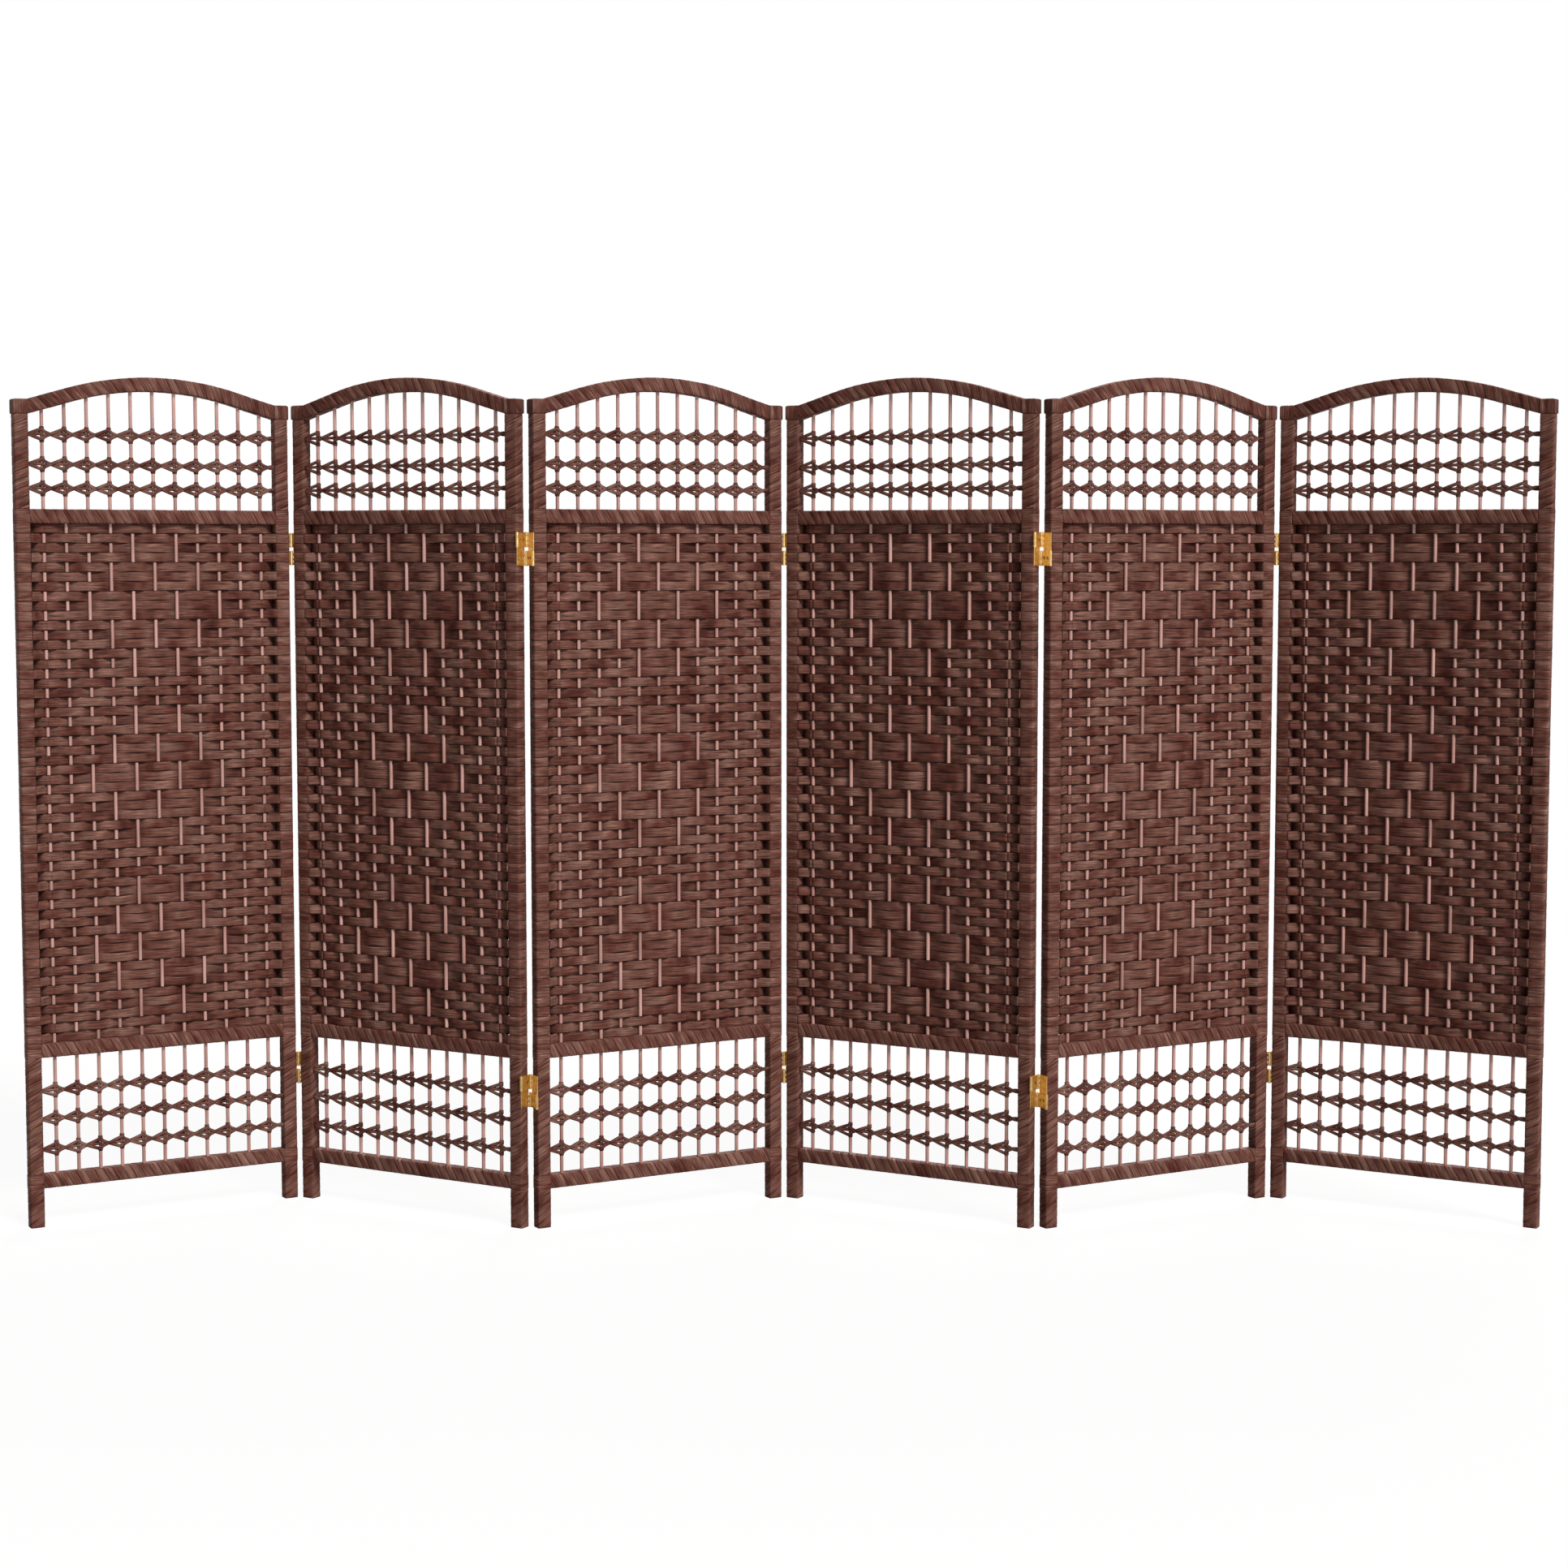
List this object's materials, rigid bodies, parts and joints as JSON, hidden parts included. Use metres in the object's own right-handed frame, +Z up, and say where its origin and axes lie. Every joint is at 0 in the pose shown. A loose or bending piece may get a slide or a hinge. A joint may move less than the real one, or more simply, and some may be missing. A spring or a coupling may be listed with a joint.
{
  "type": "folding screen",
  "caption": "Free-standing folding screen: panels of woven fiber in wrapped frames with arched tops and open knotted cord rows, joined by double-action hinges.",
  "frame": {"origin": "centre of the bounding box on the floor, with the screen half folded in a zigzag", "axes": "+X along the screen from panel 1 to panel 6, +Y from the viewer's side to the back, +Z up"},
  "size_m": [2.9534, 0.308, 1.6491],
  "materials": {
    "wrapped_frame": "wooden bars wound with flat brown paper-fiber strip, matt",
    "woven_fiber": "flat brown paper-fiber strip, woven, matt with a faint sheen",
    "fiber_cord": "brown paper-fiber cord, matt",
    "rods": "smooth round rods, pinkish brown, semi-gloss",
    "brass": "polished yellow brass plate"
  },
  "bodies": {
    "panel_1": {"panel_1_left_post": "wrapped_frame", "panel_1_right_post": "wrapped_frame", "panel_1_arch_rail": "wrapped_frame", "panel_1_cross_rails": "wrapped_frame", "panel_1_rods": "rods", "panel_1_weave": "woven_fiber", "panel_1_cord_rows": "fiber_cord", "panel_1_hinge_leaves": "brass", "panel_1_hinge_links": "brass", "panel_1_hinge_screws": "brass"},
    "panel_2": {"panel_2_left_post": "wrapped_frame", "panel_2_right_post": "wrapped_frame", "panel_2_arch_rail": "wrapped_frame", "panel_2_cross_rails": "wrapped_frame", "panel_2_rods": "rods", "panel_2_weave": "woven_fiber", "panel_2_cord_rows": "fiber_cord", "panel_2_hinge_leaves": "brass", "panel_2_hinge_links": "brass", "panel_2_hinge_screws": "brass"},
    "panel_3": {"panel_3_left_post": "wrapped_frame", "panel_3_right_post": "wrapped_frame", "panel_3_arch_rail": "wrapped_frame", "panel_3_cross_rails": "wrapped_frame", "panel_3_rods": "rods", "panel_3_weave": "woven_fiber", "panel_3_cord_rows": "fiber_cord", "panel_3_hinge_leaves": "brass", "panel_3_hinge_links": "brass", "panel_3_hinge_screws": "brass"},
    "panel_4": {"panel_4_left_post": "wrapped_frame", "panel_4_right_post": "wrapped_frame", "panel_4_arch_rail": "wrapped_frame", "panel_4_cross_rails": "wrapped_frame", "panel_4_rods": "rods", "panel_4_weave": "woven_fiber", "panel_4_cord_rows": "fiber_cord", "panel_4_hinge_leaves": "brass", "panel_4_hinge_links": "brass", "panel_4_hinge_screws": "brass"},
    "panel_5": {"panel_5_left_post": "wrapped_frame", "panel_5_right_post": "wrapped_frame", "panel_5_arch_rail": "wrapped_frame", "panel_5_cross_rails": "wrapped_frame", "panel_5_rods": "rods", "panel_5_weave": "woven_fiber", "panel_5_cord_rows": "fiber_cord", "panel_5_hinge_leaves": "brass", "panel_5_hinge_links": "brass", "panel_5_hinge_screws": "brass"},
    "panel_6": {"panel_6_left_post": "wrapped_frame", "panel_6_right_post": "wrapped_frame", "panel_6_arch_rail": "wrapped_frame", "panel_6_cross_rails": "wrapped_frame", "panel_6_rods": "rods", "panel_6_weave": "woven_fiber", "panel_6_cord_rows": "fiber_cord", "panel_6_hinge_leaves": "brass", "panel_6_hinge_links": "brass", "panel_6_hinge_screws": "brass"}
  },
  "joints": [
    {"name": "fold_2_3", "type": "hinge", "parent": "panel_3", "child": "panel_2", "pos_m": [-0.49305, -0.12501, 0], "axis": [0, 0, -1], "range_deg": [-60, 120]},
    {"name": "fold_1_2", "type": "hinge", "parent": "panel_2", "child": "panel_1", "pos_m": [-0.98609, 0.12501, 0], "axis": [0, 0, 1], "range_deg": [-60, 120]},
    {"name": "fold_3_4", "type": "hinge", "parent": "panel_3", "child": "panel_4", "pos_m": [0, 0.12501, 0], "axis": [0, 0, -1], "range_deg": [-60, 120]},
    {"name": "fold_4_5", "type": "hinge", "parent": "panel_4", "child": "panel_5", "pos_m": [0.49305, -0.12501, 0], "axis": [0, 0, 1], "range_deg": [-60, 120]},
    {"name": "fold_5_6", "type": "hinge", "parent": "panel_5", "child": "panel_6", "pos_m": [0.98609, 0.12501, 0], "axis": [0, 0, -1], "range_deg": [-60, 120]}
  ]
}
